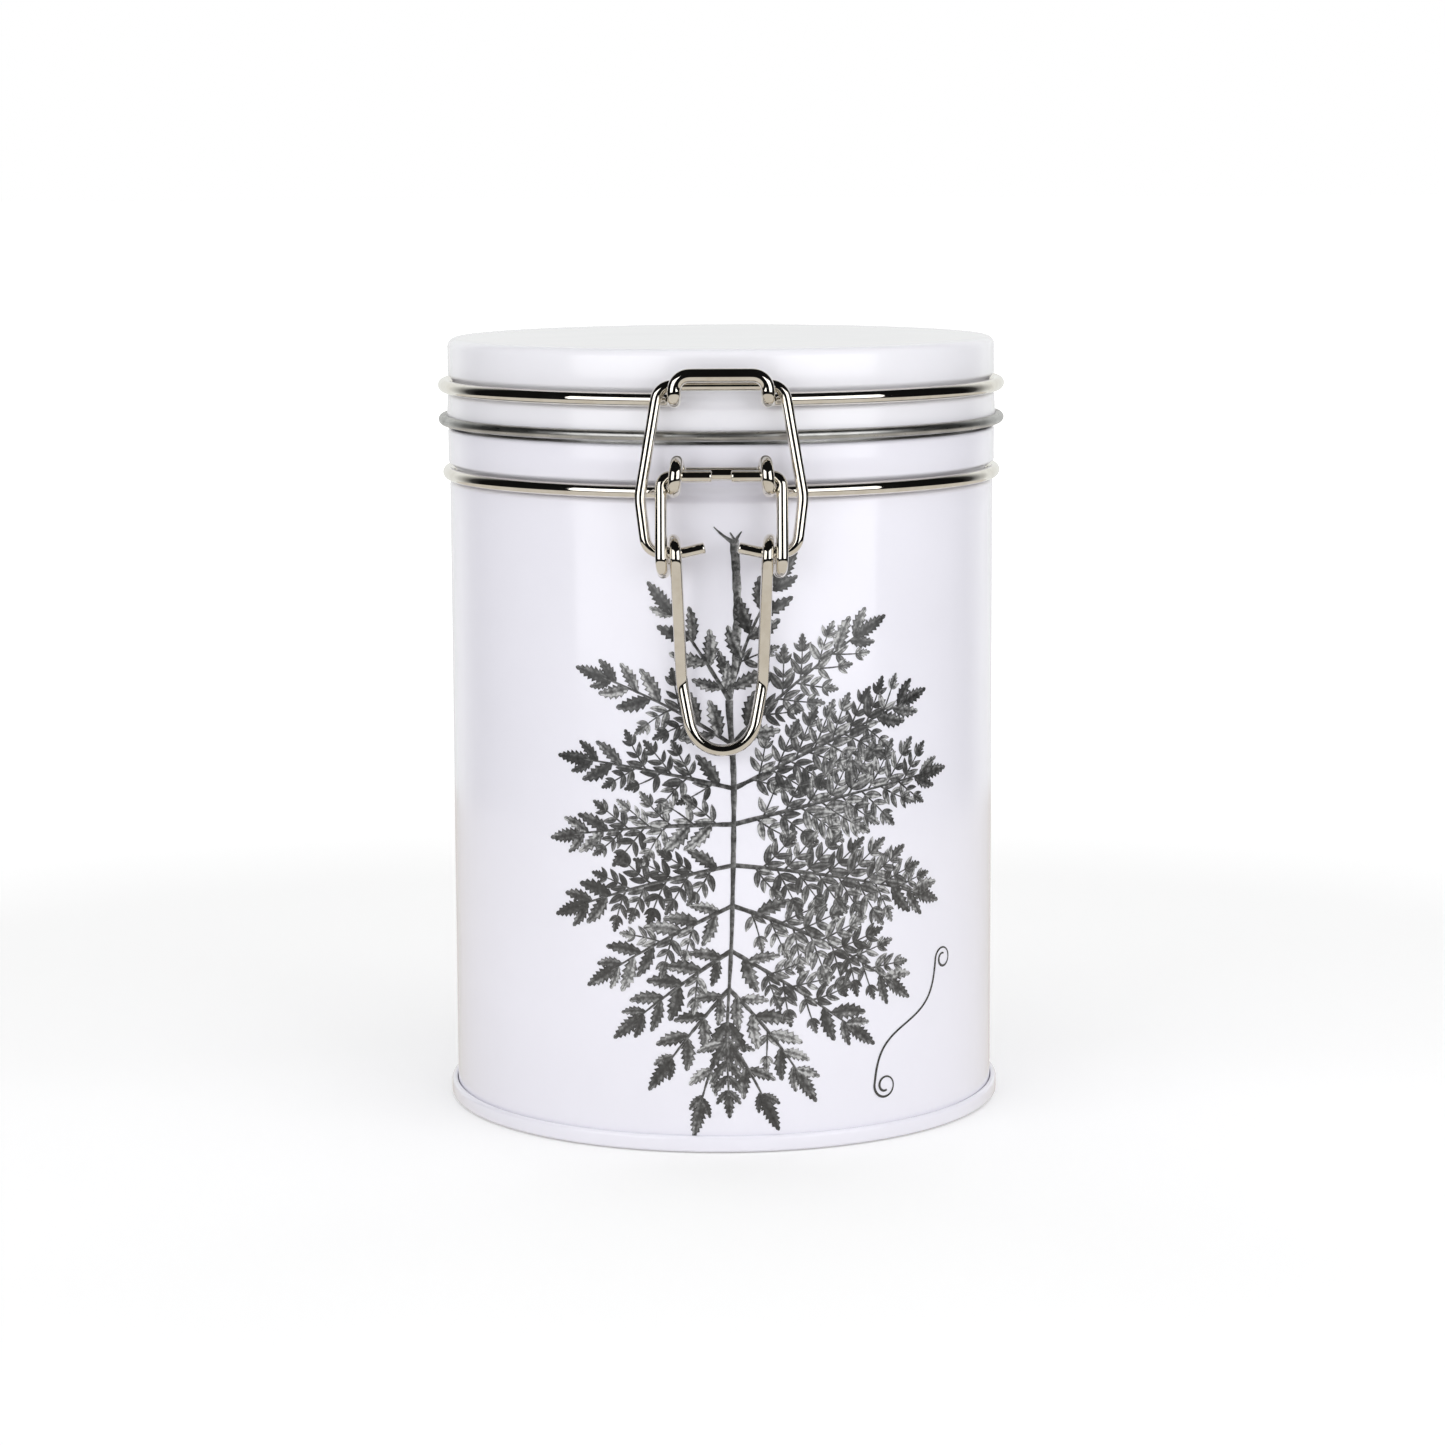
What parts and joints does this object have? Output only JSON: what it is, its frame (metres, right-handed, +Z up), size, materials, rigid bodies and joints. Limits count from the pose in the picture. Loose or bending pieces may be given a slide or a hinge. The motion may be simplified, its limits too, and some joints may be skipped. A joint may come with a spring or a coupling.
{
  "type": "clip-top coffee tin",
  "caption": "Round tinplate storage tin with a hinged lid, a silicone seal and a wire over-centre latch.",
  "frame": {"origin": "on the can's axis, on the surface that the base seam stands on", "axes": "+Z up along the can's axis, -Y towards the latch, +Y towards the hinge"},
  "size_m": [0.1144, 0.1279, 0.155],
  "materials": {
    "body_enamel": "gloss white enamel with a grey print",
    "base_enamel": "gloss white enamel",
    "collar_tinplate": "bare tinplate, satin",
    "neck_ring_nickel": "bright nickel-plated wire",
    "lid_enamel": "gloss white enamel, bare tinplate rolled edge",
    "seal_silicone": "translucent silicone, matte",
    "lid_ring_nickel": "bright nickel-plated wire",
    "lever_nickel": "bright nickel-plated wire",
    "link_nickel": "bright nickel-plated wire"
  },
  "bodies": {
    "can": {"body_shell": "body_enamel", "base_plate": "base_enamel", "mouth_collar": "collar_tinplate", "neck_ring": "neck_ring_nickel"},
    "lid": {"lid_cover": "lid_enamel", "lid_seal": "seal_silicone", "lid_ring": "lid_ring_nickel"},
    "lever": {"closing_lever": "lever_nickel"},
    "link": {"closing_link": "link_nickel"}
  },
  "joints": [
    {"name": "lid_hinge", "type": "hinge", "parent": "can", "child": "lid", "pos_m": [0, 0.05982, 0.133], "axis": [-1, 0, 0], "range_deg": [0, 110]},
    {"name": "lever_turn", "type": "hinge", "parent": "can", "child": "lever", "pos_m": [0, -0.05945, 0.1314], "axis": [-1, 0, 0], "range_deg": [0, 110]},
    {"name": "link_turn", "type": "hinge", "parent": "lever", "child": "link", "pos_m": [0, -0.0598, 0.11705], "axis": [1, 0, 0], "range_deg": [0, 176]}
  ],
  "couplings": [
    {"joint": "link_turn", "follows": "lever_turn", "ratio": 1.6}
  ]
}
